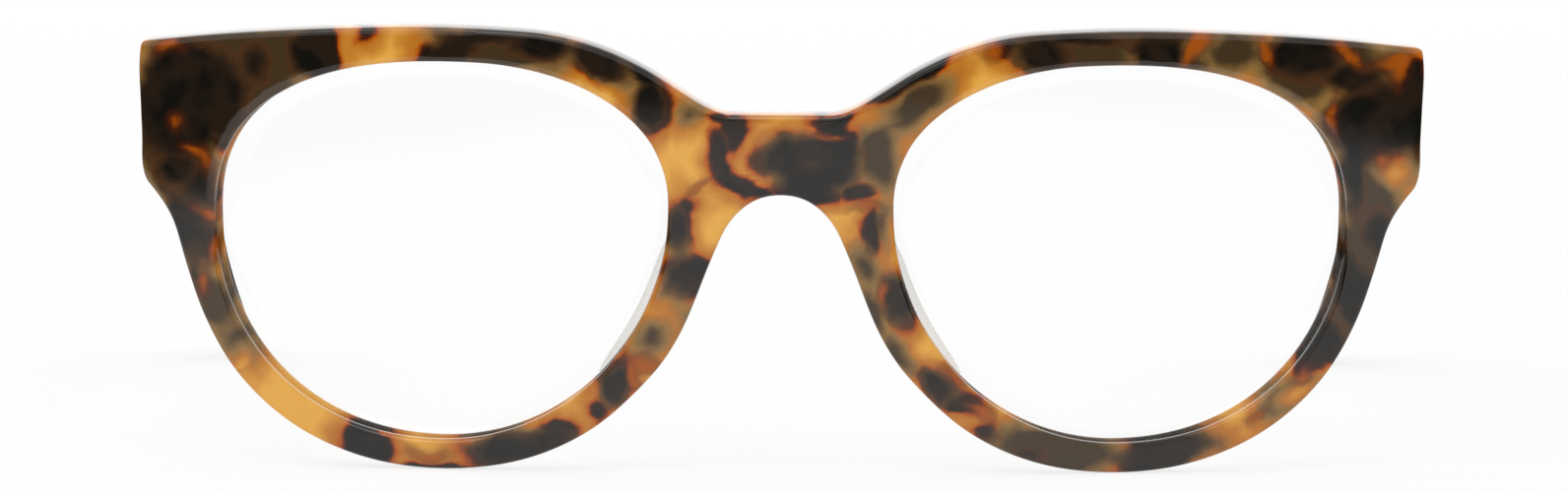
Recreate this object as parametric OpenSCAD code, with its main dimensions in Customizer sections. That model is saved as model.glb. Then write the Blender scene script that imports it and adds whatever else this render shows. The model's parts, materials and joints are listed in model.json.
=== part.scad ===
// Browline style glasses: a thick acetate front with a heavy flat brow, two lenses,
// clear nose pads, five barrel hinges and a pair of acetate temples with metal cores.
// The glasses stand open on a table, on the rims and the temple tips.
// The front faces -Y and the temples run towards +Y. Left is the wearer's left, at +X.

/* [Front] */
// Width of the front, measured along its curve
front_w = 142.4; // [136:0.2:152]
// Thickness of the front
front_t = 4.2; // [3.6:0.1:5.2]
// Radius of the front's curve, seen from above
front_curve_r = 250; // [200:5:400]
// Width of the rim above the lens
brow_rim = 3.8; // [3:0.1:6]
// How far the outer top corner lies below the top of the brow
brow_fall = 3.0; // [1:0.1:5]
// Height of the square end piece that carries the hinge
endpiece_h = 15.9; // [13:0.1:17]
// Width of the rim at the temple side
rim_side = 3.5; // [2.8:0.1:5]
// Width of the rim below the lens
rim_bottom = 3.4; // [2.6:0.1:5]
// Width of the rim beside the nose
rim_nose = 4.9; // [4:0.1:6]
// Width of the rim beside the lower end of the nose pad
rim_low_nose = 4.2; // [3:0.05:4.8]
// Radius of the rounded edges of the acetate
edge_r = 0.5; // [0.2:0.05:0.8]

/* [Bridge] */
// How far the top of the bridge lies below the top of the brow
bridge_drop = 9.1; // [6:0.1:12]
// Height of the bridge in the middle
bridge_h = 9.0; // [6:0.1:11]
// Width of the straight top of the bridge
bridge_flat_w = 13; // [8:0.5:15]
// Width of the arch above the nose, at its foot
nose_arch_w = 13.8; // [10:0.2:15]

/* [Eyes] */
// Width of each lens opening
eye_w = 50.4; // [46:0.2:54]
// Height of each lens opening
eye_h = 42.6; // [38:0.2:46]
// Distance between the two lens openings
eye_gap = 24.5; // [22:0.2:27]
// Height of the opening's widest point at the temple side, above its middle
eye_high_temple = 3.3; // [0:0.1:6]
// Height of the opening's widest point at the nose side, above its middle
eye_high_nose = 5.6; // [2:0.1:8]
// How far the opening's highest point is shifted towards the nose
eye_peak_shift = 2; // [0:0.1:4]

/* [Lenses] */
// Thickness of a lens
lens_t = 1.9; // [1.4:0.1:2.2]
// Width of the lens groove at its mouth
groove_w = 1.7; // [1.2:0.1:2.2]
// Depth of the lens groove
groove_d = 0.8; // [0.5:0.05:1.1]
// Play between the lens edge and the groove
lens_fit = 0.08; // [0.05:0.01:0.15]

/* [Nose pads] */
// Height of a nose pad along the rim
pad_h = 17; // [12:0.5:20]
// How far a pad stands out behind the front
pad_depth = 4.6; // [3:0.1:6]
// Width of a pad where it is glued to the rim
pad_w = 4.6; // [3.5:0.1:5.2]
// How far a pad reaches past the rim into the lens opening
pad_overhang = 0.9; // [0.4:0.1:1.5]
// Thickness of the glue line behind the rim
pad_glue = 0.05; // [0.03:0.01:0.1]

/* [Temples] */
// Length of a temple from the hinge to the tip, along its middle
temple_l = 145; // [135:1:150]
// Height of a temple at the hinge
temple_h = 14.6; // [12:0.1:15]
// Height of a temple just before the ear bend
temple_mid_h = 9.6; // [7:0.1:12]
// Height of the tip
temple_tip_h = 10.6; // [8:0.1:13]
// Thickness of a temple at the hinge
temple_t = 4.3; // [3.6:0.1:5]
// Thickness of a temple at the tip
temple_tip_t = 3.4; // [2.8:0.1:4.2]
// Distance from the hinge to the start of the ear bend
bend_start = 88; // [80:1:96]
// Inner radius of the ear bend, at the middle of the temple
bend_r = 34; // [25:1:50]
// How steeply the ear piece drops
bend_deg = 38; // [25:1:45]
// How far the temples spread outwards at the ear bend
temple_spread = 1.0; // [0:0.1:3]
// How strongly the tips lean in towards the head
tip_lean = 0.022; // [0:0.001:0.03]
// Lean of the front against a line square to the temples
front_lean = 10.5; // [6:0.5:12]
// Gap between the open temple and the end piece
butt_gap = 0.15; // [0.1:0.01:0.3]
// Width of the metal core inside a temple
core_w = 2.6; // [2:0.1:3.2]
// Thickness of the metal core
core_t = 1.1; // [0.8:0.05:1.3]
// How far the core ends before the tip
core_end_gap = 9; // [6:0.5:20]
// Clearance round the core in its channel
core_fit = 0.05; // [0.03:0.01:0.1]

/* [Hinges] */
// Radius of the hinge barrels
barrel_r = 1.9; // [1.6:0.05:2.1]
// Height of one barrel, five of which make a hinge
barrel_h = 1.52; // [1.3:0.02:1.7]
// Gap between two barrels
barrel_gap = 0.08; // [0.04:0.01:0.15]
// Gap between the barrels and the temple that swings round them
barrel_clearance = 0.2; // [0.15:0.01:0.4]
// Distance of the hinge pin behind the back of the front
hinge_set_back = 2.25; // [2.2:0.05:2.8]
// Thickness of the hinge plates
plate_t = 1.2; // [0.8:0.05:1.5]
// Length of the plate that is sunk in the temple
temple_plate_l = 10; // [8:0.5:14]
// Radius of the anchors under the hinge plates
anchor_r = 0.6; // [0.4:0.05:0.7]
// How far the anchors reach into the acetate beyond the plates
anchor_l = 1.3; // [0.8:0.1:1.5]
// Radius of the hinge screw
screw_r = 0.7; // [0.5:0.05:0.8]
// Running clearance between the screw and the barrels
screw_clearance = 0.04; // [0.02:0.01:0.08]
// Radius of the screw head
screw_head_r = 1.25; // [1.1:0.05:1.4]
// Height of the screw head, which sits in the top barrel
screw_head_h = 0.8; // [0.6:0.05:1]
// Clearance round the sunk hinge plates
plate_fit = 0.05; // [0.03:0.01:0.1]

/* [Hidden] */
$fn = 48;

acetate = [0.36, 0.22, 0.12];
clear_acetate = [0.86, 0.87, 0.84, 0.6];
lens_tint = [0.9, 0.93, 0.93, 0.3];
steel = [0.72, 0.72, 0.74];

// The front is drawn flat, with u across and w up from the middle of the eyes, and is
// then wrapped round a drum of this radius. t is the distance in front of the back face.
function bend_angle(u) = u / front_curve_r * 180 / PI;
function wrap(u, w, t) = [
    (front_curve_r + t) * sin(bend_angle(u)),
    front_curve_r - (front_curve_r + t) * cos(bend_angle(u)),
    w
];

// Small helpers for curves
function lerp(a, b, f) = a + (b - a) * f;
function unit2(v) = v / norm(v);
function smooth(f) = let (g = min(1, max(0, f))) g * g * (3 - 2 * g);
function min_of(list, axis) = min([for (p = list) p[axis]]);
function max_of(list, axis) = max([for (p = list) p[axis]]);

// The lens opening is four quarter curves between its highest, lowest and widest points.
// The angle a is 0 at the temple side, 90 at the top and 180 at the nose.
eye_u = eye_gap / 2 + eye_w / 2;
eye_roundness = [2.38, 2.15, 2, 2.14];
function quarter(a) = floor(((a % 360) + 360) % 360 / 90);
function signed_power(v, e) = sign(v) * pow(abs(v), e);
function eye_point(a) =
    let (
        q = quarter(a),
        wide_w = (q == 0 || q == 3) ? eye_high_temple : eye_high_nose,
        half_h = (q < 2) ? eye_h / 2 - wide_w : eye_h / 2 + wide_w,
        shift = (q < 2) ? eye_peak_shift : 0,
        half_w = eye_w / 2 + (q == 0 ? shift : -shift),
        e = 2 / eye_roundness[q]
    )
    [
        eye_u - shift + half_w * signed_power(cos(a), e),
        wide_w + half_h * signed_power(sin(a), e)
    ];
// Points from the opening's edge into the rim
function eye_normal(a) =
    let (d = eye_point(a + 2) - eye_point(a - 2))
    unit2([d.y, -d.x]);

// Heights on the front, above the middle of the eyes
brow_top = eye_h / 2 + brow_rim;
bridge_top = brow_top - bridge_drop;
bridge_low = bridge_top - bridge_h;
end_top = brow_top - brow_fall;
notch_w = end_top - endpiece_h;
end_u = front_w / 2;
brow_peak_u = eye_u - 5;

// Width of the rim below the widest points, from the nose round to the temple side
function rim_width(a) =
    a < 228 ? lerp(rim_nose, rim_low_nose, smooth((a - 204) / 24))
    : a < 270 ? lerp(rim_low_nose, rim_bottom, smooth((a - 230) / 40))
    : lerp(rim_bottom, rim_side, smooth((a - 270) / 70));
function rim_key(a) =
    let (p = eye_point(a) + eye_normal(a) * rim_width(a))
    [p.x, p.y, a];
// Point on the sweep from the bridge up to the top of the brow
function sweep_key(across, up, a) =
    [lerp(bridge_flat_w / 2, brow_peak_u, across), lerp(bridge_top, brow_top, up), a];
// Point on the brow line between its highest point and the outer top corner
function brow_key(across, down, a) =
    [lerp(brow_peak_u, end_u, across), lerp(brow_top, end_top, down), a];

// Corners of the outer outline of one half: u, w and the angle on the lens opening
// that the outline is joined to. They run from under the bridge round the eye to its top.
arch_u = nose_arch_w / 2;
side_u = eye_u + eye_w / 2 + rim_side;
outline_keys = [
    [0, bridge_low, 186],
    [arch_u * 0.32, bridge_low - 0.2, 189],
    [arch_u * 0.58, bridge_low - 1.35, 192],
    [arch_u * 0.81, bridge_low - 2.95, 196],
    [arch_u, bridge_low - 5.8, 203],
    rim_key(214),
    rim_key(223),
    rim_key(234),
    rim_key(250),
    rim_key(268),
    rim_key(286),
    rim_key(304),
    rim_key(322),
    rim_key(338),
    [side_u, eye_high_temple - 5.4, 347],
    [lerp(side_u, end_u, 0.35), notch_w - 3.0, 355],
    [lerp(side_u, end_u, 0.62), notch_w - 1.1, 360],
    [end_u - 1.1, notch_w - 0.2, 364],
    [end_u - 0.5, notch_w + 0.5, 367],
    [end_u - 0.2, lerp(notch_w, end_top, 0.3), 375],
    [end_u, lerp(notch_w, end_top, 0.6), 386],
    [end_u, end_top - 0.6, 399],
    [end_u - 0.12, end_top - 0.05, 401],
    [end_u - 0.5, end_top + 0.2, 403],
    [end_u - 1.3, end_top + 0.3, 405],
    brow_key(0.8, 0.6, 416),
    brow_key(0.48, 0.2, 432),
    sweep_key(1, 1, 456),
    sweep_key(0.68, 0.93, 471),
    sweep_key(0.45, 0.73, 484),
    sweep_key(0.29, 0.5, 495),
    sweep_key(0.14, 0.22, 505),
    [bridge_flat_w / 2, bridge_top + 0.1, 510],
    [bridge_flat_w / 2 - 1, bridge_top, 512],
    [bridge_flat_w / 2 - 1.8, bridge_top, 513],
    [0, bridge_top, 517]
];
// Stations drawn in each stretch between two corners
key_steps = [for (i = [0 : len(outline_keys) - 2])
    let (d = norm([for (k = [0 : 1]) outline_keys[i + 1][k] - outline_keys[i][k]]))
    max(1, min(4, round(d / 2.2)))];

// Smooth curve through the corners, with slopes that allow for uneven spacing
function key_gap(i) =
    norm([for (k = [0 : 1]) outline_keys[i + 1][k] - outline_keys[i][k]]);
function key_slope(i) =
    (i == 0) ? [1, 0, (outline_keys[1].z - outline_keys[0].z) / key_gap(0)]
    : (i == len(outline_keys) - 1)
        ? [-1, 0, (outline_keys[i].z - outline_keys[i - 1].z) / key_gap(i - 1)]
    : let (
        before = key_gap(i - 1),
        after = key_gap(i),
        slope_in = (outline_keys[i] - outline_keys[i - 1]) / before,
        slope_out = (outline_keys[i + 1] - outline_keys[i]) / after
    )
    (slope_out * before + slope_in * after) / (before + after);
function key_curve(i, f) =
    let (g = key_gap(i), f2 = f * f, f3 = f2 * f)
    outline_keys[i] * (2 * f3 - 3 * f2 + 1) + key_slope(i) * g * (f3 - 2 * f2 + f)
    + outline_keys[i + 1] * (3 * f2 - 2 * f3) + key_slope(i + 1) * g * (f3 - f2);

outer_stations = [
    for (i = [0 : len(outline_keys) - 2])
        for (j = [0 : key_steps[i] - 1]) key_curve(i, j / key_steps[i]),
    outline_keys[len(outline_keys) - 1]
];
// Stations across the middle of the bridge, where the two halves meet
middle_steps = 4;
middle_stations = [for (j = [1 : middle_steps - 1])
    [0, lerp(bridge_top, bridge_low, j / middle_steps), lerp(517, 547, j / middle_steps)]];
stations = concat(outer_stations, middle_stations);
n_stations = len(stations);
n_outer = len(outer_stations);

// Unit vector out of the acetate at each station of the outer outline
function outer_normal(i) =
    (i == 0) ? [0, -1]
    : (i >= n_outer - 1) ? [0, 1]
    : let (
        d = [for (k = [0 : 1]) stations[i + 1][k] - stations[i - 1][k]]
    )
    unit2([d.y, -d.x]);

// Section through the front at one station, as u, w and t: from the back edge of the
// lens opening over the groove, the front face and the outer edge to the back face.
groove_mid = front_t * 0.48;
back_edge_r = edge_r * 0.8;
function at_eye(a, inset, t) =
    let (p = eye_point(a) + eye_normal(a) * inset)
    [p.x, p.y, t];
function at_outer(i, inset, t) =
    let (p = [stations[i].x, stations[i].y] - outer_normal(i) * (i >= n_outer ? 0 : inset))
    [p.x, p.y, t];
eye_profile = [
    [back_edge_r, 0],
    [0, back_edge_r],
    [0, groove_mid - groove_w / 2],
    [groove_d, groove_mid],
    [0, groove_mid + groove_w / 2],
    [0, front_t - edge_r],
    [edge_r * 0.3, front_t - edge_r * 0.3],
    [edge_r, front_t]
];
outer_profile = [
    [edge_r, front_t],
    [edge_r * 0.3, front_t - edge_r * 0.3],
    [0, front_t - edge_r],
    [0, back_edge_r],
    [back_edge_r, 0]
];
n_eye = len(eye_profile) + 1;
n_ring = n_eye + len(outer_profile) + 1;
function section(i) =
    let (
        inner = [for (p = eye_profile) at_eye(stations[i].z, p.x, p.y)],
        outer = [for (p = outer_profile) at_outer(i, p.x, p.y)]
    )
    concat(
        inner,
        [(inner[len(inner) - 1] + outer[0]) / 2],
        outer,
        [(inner[0] + outer[len(outer) - 1]) / 2]
    );
// At the middle stations the whole outer edge lies on the centre plane
function is_middle(i) = i >= n_outer || i == 0 || i == n_outer - 1;
half_front = [for (i = [0 : n_stations - 1]) each section(i)];

// Index of a point: points on the centre plane are shared by the two halves
function front_index(side, i, k) =
    let (
        at_edge = k >= n_eye && k < n_ring - 1,
        kk = (i >= n_outer && at_edge) ? (k < n_eye + 2 ? n_eye : n_ring - 2) : k
    )
    i * n_ring + kk + ((side == 1 || (is_middle(i) && at_edge)) ? 0 : n_stations * n_ring);
function front_faces(side) = [
    for (i = [0 : n_stations - 1])
        for (k = [0 : n_ring - 1])
            let (
                i2 = (i + 1) % n_stations,
                k2 = (k + 1) % n_ring,
                on_centre = is_middle(i) && is_middle(i2) && k >= n_eye && k < n_ring - 2,
                a = front_index(side, i, k),
                b = front_index(side, i2, k),
                c = front_index(side, i2, k2),
                d = front_index(side, i, k2)
            )
            if (!on_centre)
                each (side == 1 ? [[a, b, c], [a, c, d]] : [[a, c, b], [a, d, c]])
];
front_points = concat(
    [for (p = half_front) wrap(p.x, p.y, p.z)],
    [for (p = half_front) wrap(-p.x, p.y, p.z)]
);

// Hinge pin, in the front's own frame. It stands upright behind the end piece, and the
// temple's inner face passes it at the barrel's radius plus a clearance.
endpiece_step = 0.25;
temple_inner_x = front_curve_r * sin(bend_angle(end_u)) - endpiece_step - temple_t;
plate_x = barrel_r + barrel_clearance;
hinge_x = temple_inner_x - plate_x;
hinge_deg = asin(hinge_x / (front_curve_r - hinge_set_back));
hinge_y = front_curve_r - (front_curve_r - hinge_set_back) * cos(hinge_deg);
hinge_w = notch_w + endpiece_h / 2;
hinge_stack_h = 5 * barrel_h + 4 * barrel_gap;
function back_depth(x) = front_curve_r - sqrt(front_curve_r * front_curve_r - x * x);

// Mirrors a left piece to the right, where side is -1
module on_side(side) {
    mirror([side < 0 ? 1 : 0, 0, 0]) children();
}
module at_hinge() {
    translate([hinge_x, hinge_y, hinge_w]) children();
}
// The temples slope down from the front's own frame by its lean
module at_temple() {
    at_hinge() rotate([-front_lean, 0, 0]) children();
}

// Centre line of a temple from the hinge: y back and z up, with the slope there
bend_arc_l = bend_r * bend_deg * PI / 180;
function temple_slope(s) = min(bend_deg, max(0, (s - bend_start) / bend_arc_l * bend_deg));
function temple_mid(s) =
    let (a = temple_slope(s), rest = max(0, s - bend_start - bend_arc_l))
    [
        min(s, bend_start) + bend_r * sin(a) + rest * cos(bend_deg),
        -bend_r * (1 - cos(a)) - rest * sin(bend_deg)
    ];
// Height and thickness along the temple. The underside rises towards the ear bend.
function temple_height(s) =
    s < bend_start ? lerp(temple_h, temple_mid_h, smooth(s / bend_start))
    : lerp(temple_mid_h, temple_tip_h, smooth((s - bend_start) / (temple_l - bend_start)));
function temple_thick(s) = lerp(temple_t, temple_tip_t, smooth(s / temple_l));
function temple_rise(s) = (temple_h - temple_height(min(s, bend_start))) * 0.3;
// The tips lean in below this height, more and more towards the end
lean_from_z = -13;
function lean_in(z) = tip_lean * pow(max(0, lean_from_z - z), 2);
function spread(s) = temple_spread * smooth(s / bend_start);

// Outline of a temple section with rounded corners, as thickness and height
temple_corner = 1.1;
function temple_outline(half_t, half_h) =
    let (
        r = min(temple_corner, half_t * 0.8),
        c = [[1, 1], [-1, 1], [-1, -1], [1, -1]]
    )
    [for (i = [0 : 3])
        for (a = [0 : 45 : 90])
            [
                c[i].x * (half_t - r) + r * cos(a + 90 * i),
                c[i].y * (half_h - r) + r * sin(a + 90 * i)
            ]
    ];
// Where the front end of the temple meets the back of the end piece
lead_l = 18;
function butt_y(x, z) =
    (back_depth(hinge_x + x) + butt_gap - hinge_y - z * sin(front_lean)) / cos(front_lean);
function temple_point(s, x, z) =
    let (
        m = temple_mid(s),
        a = temple_slope(s),
        y_flat = m.x + z * sin(a),
        z_here = m.y + z * cos(a) + temple_rise(s),
        x_here = x + spread(s) - lean_in(z_here),
        lead = max(0, 1 - s / lead_l)
    )
    [x_here, y_flat + lead * butt_y(x_here, z_here), z_here];

// The tip is rounded: its sections shrink over the last stretch
tip_round = 5;
function tip_scale(s) =
    let (f = max(0, (s - (temple_l - tip_round)) / tip_round))
    sqrt(max(0, 1 - f * f * 0.97));
temple_stops = concat(
    [for (f = [0, 0.08, 0.33, 0.67, 1]) f * lead_l],
    [for (f = [0.17, 0.37, 0.57, 0.77, 0.92]) lerp(lead_l, bend_start, f)],
    [for (i = [0 : 8]) bend_start + bend_arc_l * i / 8],
    [for (f = [0.3, 0.6, 1]) lerp(bend_start + bend_arc_l, temple_l - tip_round, f)],
    [for (f = [0.35, 0.65, 0.85, 0.96, 1]) temple_l - tip_round + tip_round * f]
);
temple_centre_x = plate_x + temple_t / 2;
function temple_ring(s) =
    let (
        half_t = temple_thick(s) / 2 * lerp(1, tip_scale(s), 0.8),
        half_h = temple_height(s) / 2 * tip_scale(s),
        shift = (temple_t - temple_thick(s)) / 2
    )
    [for (p = temple_outline(half_t, half_h))
        temple_point(s, temple_centre_x + shift + p.x, p.y)];

// Closed skin over a row of equal rings, with a flat cap at each end
module skin(rings) {
    n = len(rings[0]);
    last = (len(rings) - 1) * n;
    polyhedron(
        points = [for (r = rings) each r],
        faces = concat(
            [for (k = [1 : n - 2]) [0, k + 1, k]],
            [for (k = [1 : n - 2]) [last, last + k, last + k + 1]],
            [for (j = [0 : len(rings) - 2])
                for (k = [0 : n - 1])
                    let (a = j * n + k, b = j * n + (k + 1) % n)
                    each [[a, b, a + n], [b, b + n, a + n]]
            ]
        )
    );
}

// The metal core starts behind the hinge plate, which it is soldered to, and comes to the
// middle of the temple on its way towards the tip
core_start = 1.5;
function core_x(s) =
    plate_x + lerp(
        plate_t + plate_fit + core_t / 2,
        temple_t - temple_tip_t / 2,
        smooth(s / temple_l)
    );
core_stops = concat(
    [for (f = [0, 0.12, 0.26, 0.47, 0.7, 0.88]) lerp(core_start, bend_start, f)],
    [for (i = [0 : 6]) bend_start + bend_arc_l * i / 6],
    [temple_l - core_end_gap]
);
function core_ring(s, grow) =
    let (
        half_t = core_t / 2 + grow,
        half_w = core_w / 2 + grow,
        b = 0.35
    )
    [for (p = [[1, 1 - b], [1 - b, 1], [b - 1, 1], [-1, 1 - b],
        [-1, b - 1], [b - 1, -1], [1 - b, -1], [1, b - 1]])
        temple_point(s, core_x(s) + p.x * half_t, p.y * half_w)];
module core_shape(grow, run_on) {
    skin([for (i = [0 : len(core_stops) - 1])
        core_ring(core_stops[i] + (i == len(core_stops) - 1 ? run_on : 0), grow)]);
}

// The plate sunk in the temple's inner face, in the temple's frame, with two anchors.
// It starts just behind the slanted end of the temple.
plate_recess = 0.1;
temple_plate_y = butt_y(plate_x + plate_t, -hinge_stack_h / 2) + plate_recess;
anchor_inset = 2.5;
temple_anchors = [[anchor_inset, 0.7], [temple_plate_l - anchor_inset, -0.7]];
module temple_plate(grow) {
    translate([plate_x - grow, temple_plate_y - grow, -hinge_stack_h / 2 - grow])
        cube([plate_t + 2 * grow, temple_plate_l + 2 * grow, hinge_stack_h + 2 * grow]);
    for (p = temple_anchors)
        translate([plate_x + plate_t / 2, p.x, p.y * hinge_stack_h / 2])
            rotate([0, 90, 0]) cylinder(r = anchor_r + grow, h = plate_t / 2 + anchor_l + grow);
}

// The plate sunk in the back of the end piece, square to the front's curve, with two
// anchors. Its outer edge stays clear of the temple.
web_half_w = barrel_r * 0.72;
barrel_bed_shift = 0.2;
web_flank = barrel_r * 0.82;
web_short = 0.15;
// The webs end inside the barrels, short of the pin
web_end = screw_r + screw_clearance + web_short;
module front_plate(grow) {
    rotate([0, 0, hinge_deg]) {
        translate([-barrel_r - grow, -hinge_set_back - plate_t - grow,
            -hinge_stack_h / 2 - grow])
            cube([barrel_r + web_half_w + 2 * grow, plate_t + 2 * grow,
                hinge_stack_h + 2 * grow]);
        for (z = [-0.6, 0.6])
            translate([-barrel_bed_shift, -hinge_set_back - plate_t / 2,
                z * hinge_stack_h / 2])
                rotate([90, 0, 0])
                    cylinder(r = anchor_r + grow, h = plate_t / 2 + anchor_l + grow);
    }
}

// One of the five barrels, counted from the bottom
function barrel_low(i) = -hinge_stack_h / 2 + i * (barrel_h + barrel_gap);
module barrel(i) {
    translate([0, 0, barrel_low(i)]) cylinder(r = barrel_r, h = barrel_h);
}
module pin_bore(r) {
    translate([0, 0, -hinge_stack_h]) cylinder(r = r, h = 2 * hinge_stack_h);
}

// Glasses on the table: the front leans a little less than when worn, so that the rims
// and the temple tips touch the table together.
function tilt(p, a) = [p.x, p.y * cos(a) - p.z * sin(a), p.y * sin(a) + p.z * cos(a)];
function from_temple(p) =
    [hinge_x, hinge_y, hinge_w] + tilt(p, -front_lean);
temple_skin = [for (s = temple_stops) each [for (p = temple_ring(s)) from_temple(p)]];
function table_gap(a) =
    min_of([for (p = temple_skin) tilt(p, a)], 2) - min_of([for (p = front_points) tilt(p, a)], 2);
// Finds the lean at which both touch, by halving
function find_lean(low, high, n) =
    let (mid = (low + high) / 2)
    n == 0 ? mid
    : (table_gap(mid) > 0 ? find_lean(low, mid, n - 1) : find_lean(mid, high, n - 1));
table_lean = find_lean(-10, front_lean + 5, 16);
all_points = [for (p = concat(front_points, temple_skin)) tilt(p, table_lean)];
table_shift = [0, -(min_of(all_points, 1) + max_of(all_points, 1)) / 2, -min_of(all_points, 2)];
module on_table() {
    translate(table_shift) rotate([table_lean, 0, 0]) children();
}

module front() {
    color(acetate) on_table() difference() {
        polyhedron(points = front_points, faces = concat(front_faces(1), front_faces(-1)));
        for (side = [1, -1]) on_side(side) at_hinge() front_plate(plate_fit);
    }
}

// A lens is a disc in rings, wrapped like the front, with a bevel that fills the groove
lens_sides = 72;
lens_rings = [0.3, 0.6, 0.82, 1];
module lens(side) {
    back = groove_mid - lens_t / 2;
    bevel = min(groove_w / 2 - lens_fit, lens_t / 2 - 0.05);
    back_face = [for (f = lens_rings) [f, -lens_fit, back]];
    edge = [
        [1, -lens_fit, groove_mid - bevel],
        [1, groove_d - 1.5 * lens_fit, groove_mid],
        [1, -lens_fit, groove_mid + bevel]
    ];
    front_face = [for (i = [len(lens_rings) - 1 : -1 : 0])
        [lens_rings[i], -lens_fit, back + lens_t]];
    profile = concat(back_face, edge, front_face);
    centre = [eye_u, 0];
    rings = [for (p = profile)
        [for (i = [0 : lens_sides - 1])
            let (
                a = i * 360 / lens_sides,
                q = lerp(centre, eye_point(a) + eye_normal(a) * p.y, p.x)
            )
            wrap(q.x, q.y, p.z)
        ]
    ];
    n = lens_sides;
    first = len(rings) * n;
    points = concat(
        [for (r = rings) each r],
        [wrap(centre.x, centre.y, back), wrap(centre.x, centre.y, back + lens_t)]
    );
    color(lens_tint) on_table() on_side(side) polyhedron(
        points = points,
        faces = concat(
            [for (k = [0 : n - 1]) [k, (k + 1) % n, first]],
            [for (k = [0 : n - 1]) [first - n + (k + 1) % n, first - n + k, first + 1]],
            [for (j = [0 : len(rings) - 2])
                for (k = [0 : n - 1])
                    let (a = j * n + k, b = j * n + (k + 1) % n)
                    each [[a, a + n, b], [b, a + n, b + n]]
            ]
        )
    );
}

// A nose pad is a clear block along the lower nose side of the rim. Its nose face slopes.
pad_mid_a = 208;
pad_steps = 12;
module nose_pad(side) {
    arc = pad_h / (norm(eye_point(pad_mid_a + 5) - eye_point(pad_mid_a - 5)) / 10);
    rings = [for (i = [0 : pad_steps])
        let (
            f = i / pad_steps * 2 - 1,
            full = sqrt(max(0, 1 - pow(abs(f), 2.4) * 0.985)),
            a = pad_mid_a + f * arc / 2,
            w = pad_w * lerp(0.35, 1, full),
            over = pad_overhang * full,
            h = pad_depth * full
        )
        [for (p = [
            [-over, 0], [-over, h * 0.3], [-over * 0.55, h * 0.62], [0.2 * w, h * 0.9],
            [0.42 * w, h], [0.62 * w, h * 0.93], [0.86 * w, h * 0.62], [w, h * 0.22], [w, 0]
        ])
            let (q = at_eye(a, p.x, -pad_glue - p.y)) wrap(q.x, q.y, q.z)]
    ];
    color(clear_acetate) on_table() on_side(side) skin(rings);
}

module front_hinge(side) {
    color(steel) on_table() on_side(side) at_hinge() difference() {
        union() {
            front_plate(0);
            for (i = [0, 2, 4]) {
                barrel(i);
                rotate([0, 0, hinge_deg])
                    translate([-web_flank, -hinge_set_back - plate_t / 2, barrel_low(i)])
                        cube([web_flank + web_half_w, hinge_set_back + plate_t / 2 - web_end,
                            barrel_h]);
            }
        }
        pin_bore(screw_r + screw_clearance);
        translate([0, 0, hinge_stack_h / 2 - screw_head_h])
            cylinder(r = screw_head_r + screw_clearance, h = screw_head_h + 1);
    }
}

// The screw's head has a slot for a screwdriver
slot_w = 0.3;
slot_d = 0.35;
module hinge_screw(side) {
    color(steel) on_table() on_side(side) at_hinge() difference() {
        union() {
            translate([0, 0, -hinge_stack_h / 2])
                cylinder(r = screw_r, h = hinge_stack_h - screw_head_h / 2);
            translate([0, 0, hinge_stack_h / 2 - screw_head_h + screw_clearance])
                cylinder(r = screw_head_r, h = screw_head_h - screw_clearance);
        }
        translate([-screw_head_r, -slot_w / 2, hinge_stack_h / 2 - slot_d])
            cube([2 * screw_head_r, slot_w, 2 * slot_d]);
    }
}

module temple_hinge(side) {
    // The plate follows the temple, and the barrels stand on the hinge pin. The webs
    // between them start behind the plate's slanted front end.
    web_reach = plate_x + plate_t * 0.6;
    web_y = temple_plate_y * cos(front_lean) + (barrel_low(3) + barrel_h) * sin(front_lean)
        + 2 * plate_fit;
    color(steel) on_table() on_side(side) difference() {
        union() {
            at_temple() temple_plate(0);
            at_hinge() for (i = [1, 3]) {
                barrel(i);
                translate([0, web_y, barrel_low(i)])
                    cube([web_reach, barrel_r - web_y, barrel_h]);
            }
        }
        at_hinge() pin_bore(screw_r + screw_clearance);
    }
}

module temple(side) {
    color(acetate) on_table() on_side(side) at_temple() difference() {
        skin([for (s = temple_stops) temple_ring(s)]);
        core_shape(core_fit, core_fit);
        temple_plate(plate_fit);
    }
}

module core_wire(side) {
    color(steel) on_table() on_side(side) at_temple() core_shape(0, 0);
}

front();
lens(1);  // lens_left
lens(-1);  // lens_right
nose_pad(1);  // nose_pad_left
nose_pad(-1);  // nose_pad_right
front_hinge(1);  // front_hinge_left
front_hinge(-1);  // front_hinge_right
hinge_screw(1);  // hinge_screw_left
hinge_screw(-1);  // hinge_screw_right
temple(1);  // temple_left
temple_hinge(1);  // temple_hinge_left
core_wire(1);  // core_wire_left
temple(-1);  // temple_right
temple_hinge(-1);  // temple_hinge_right
core_wire(-1);  // core_wire_right
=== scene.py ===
# %% [markdown]
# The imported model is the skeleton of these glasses: every solid has its true size and
# place. It is loaded first and never moved. All that follows gives it its looks.

# %% Load the frame
import json
from math import cos, degrees, radians, sin

import bpy
import numpy as np
from mathutils import Matrix, Vector, noise

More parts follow.
